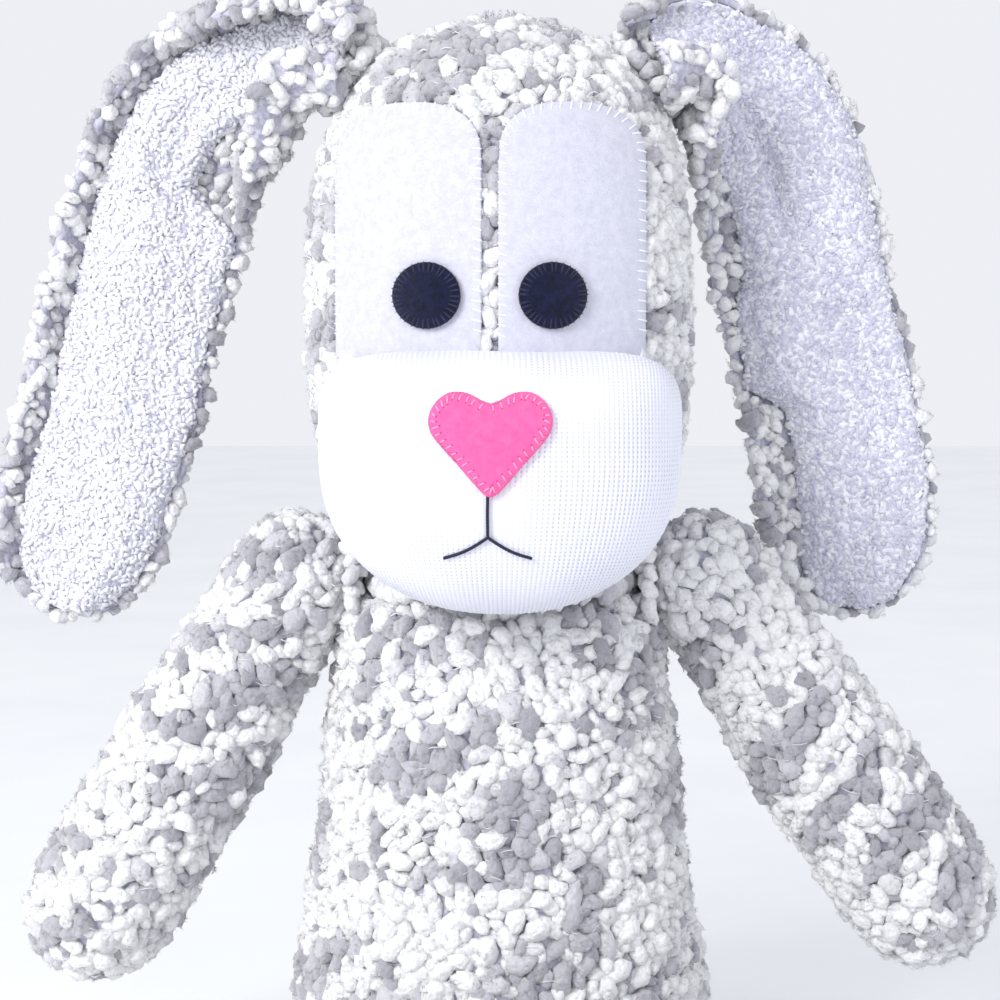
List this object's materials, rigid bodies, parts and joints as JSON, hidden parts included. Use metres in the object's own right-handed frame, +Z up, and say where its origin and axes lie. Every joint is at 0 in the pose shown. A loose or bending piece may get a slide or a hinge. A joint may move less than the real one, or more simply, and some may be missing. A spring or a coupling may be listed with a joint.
{
  "type": "stuffed sock rabbit",
  "caption": "Seated soft sock rabbit with long lined ears, a knit muzzle, felt eyes and heart nose, whose head, ears, arms and legs move.",
  "frame": {"origin": "middle of the flat seat the rabbit sits on", "axes": "+Z up, the rabbit faces -Y, its own left side is +X"},
  "size_m": [0.2858, 0.2807, 0.3129],
  "materials": {
    "popcorn_fabric": "sock knit with soft looped nubs, white and grey in bands",
    "lining_fabric": "short curly pile, pale lavender grey",
    "white_knit": "smooth white stocking-stitch sock knit",
    "white_felt": "pressed felt, matt",
    "navy_felt": "pressed felt, matt",
    "pink_felt": "pressed felt, matt",
    "navy_floss": "stranded embroidery floss, slight sheen",
    "seam_thread": "doubled sewing thread",
    "fibre_filling": "loose polyester fibre"
  },
  "bodies": {
    "torso": {"torso_skin": "popcorn_fabric", "torso_stuffing": "fibre_filling", "tail_skin": "popcorn_fabric", "tail_stuffing": "fibre_filling", "tail_seam_thread": "seam_thread"},
    "neck_thread": {"neck_seam_thread": "seam_thread"},
    "head": {"head_skin": "popcorn_fabric", "head_stuffing": "fibre_filling", "crown_gather_thread": "seam_thread", "muzzle_skin": "white_knit", "muzzle_stuffing": "fibre_filling", "eye_patch_left": "white_felt", "eye_patch_right": "white_felt", "eye_left": "navy_felt", "eye_right": "navy_felt", "nose_heart": "pink_felt", "mouth_floss": "navy_floss", "ear_left_seam_thread": "seam_thread", "ear_right_seam_thread": "seam_thread"},
    "ear_left": {"ear_left_outer": "popcorn_fabric", "ear_left_lining": "lining_fabric"},
    "shoulder_left": {"arm_left_seam_thread": "seam_thread"},
    "arm_left": {"arm_left_skin": "popcorn_fabric", "arm_left_stuffing": "fibre_filling"},
    "leg_left": {"leg_left_skin": "popcorn_fabric", "leg_left_stuffing": "fibre_filling", "leg_left_seam_thread": "seam_thread"},
    "ear_right": {"ear_right_outer": "popcorn_fabric", "ear_right_lining": "lining_fabric"},
    "shoulder_right": {"arm_right_seam_thread": "seam_thread"},
    "arm_right": {"arm_right_skin": "popcorn_fabric", "arm_right_stuffing": "fibre_filling"},
    "leg_right": {"leg_right_skin": "popcorn_fabric", "leg_right_stuffing": "fibre_filling", "leg_right_seam_thread": "seam_thread"}
  },
  "joints": [
    {"name": "neck_turn", "type": "hinge", "parent": "torso", "child": "neck_thread", "pos_m": [0, 0, 0.1638], "axis": [0, 0, 1], "range_deg": [-15, 15], "stiffness_Nm_per_rad": 0.15},
    {"name": "neck_nod", "type": "hinge", "parent": "neck_thread", "child": "head", "pos_m": [0, 0, 0.1638], "axis": [1, 0, 0], "range_deg": [-8, 10], "stiffness_Nm_per_rad": 0.6},
    {"name": "ear_left_lift", "type": "hinge", "parent": "head", "child": "ear_left", "pos_m": [0.04427, 0.004, 0.29735], "axis": [0, -1, 0], "range_deg": [0, 45]},
    {"name": "shoulder_left_swing", "type": "hinge", "parent": "torso", "child": "shoulder_left", "pos_m": [0.0575, 0, 0.1555], "axis": [-1, 0, 0], "range_deg": [-10, 80]},
    {"name": "arm_left_raise", "type": "hinge", "parent": "shoulder_left", "child": "arm_left", "pos_m": [0.0575, 0, 0.1555], "axis": [0, -1, 0], "range_deg": [0, 75]},
    {"name": "hip_left_swing", "type": "hinge", "parent": "torso", "child": "leg_left", "pos_m": [0.032, -0.07154, 0.0254], "axis": [-1, 0, 0], "range_deg": [-85, 30]},
    {"name": "ear_right_lift", "type": "hinge", "parent": "head", "child": "ear_right", "pos_m": [-0.04427, 0.004, 0.29735], "axis": [0, 1, 0], "range_deg": [0, 45]},
    {"name": "shoulder_right_swing", "type": "hinge", "parent": "torso", "child": "shoulder_right", "pos_m": [-0.0575, 0, 0.1555], "axis": [-1, 0, 0], "range_deg": [-10, 80]},
    {"name": "arm_right_raise", "type": "hinge", "parent": "shoulder_right", "child": "arm_right", "pos_m": [-0.0575, 0, 0.1555], "axis": [0, 1, 0], "range_deg": [0, 75]},
    {"name": "hip_right_swing", "type": "hinge", "parent": "torso", "child": "leg_right", "pos_m": [-0.032, -0.07154, 0.0254], "axis": [-1, 0, 0], "range_deg": [-85, 30]}
  ]
}
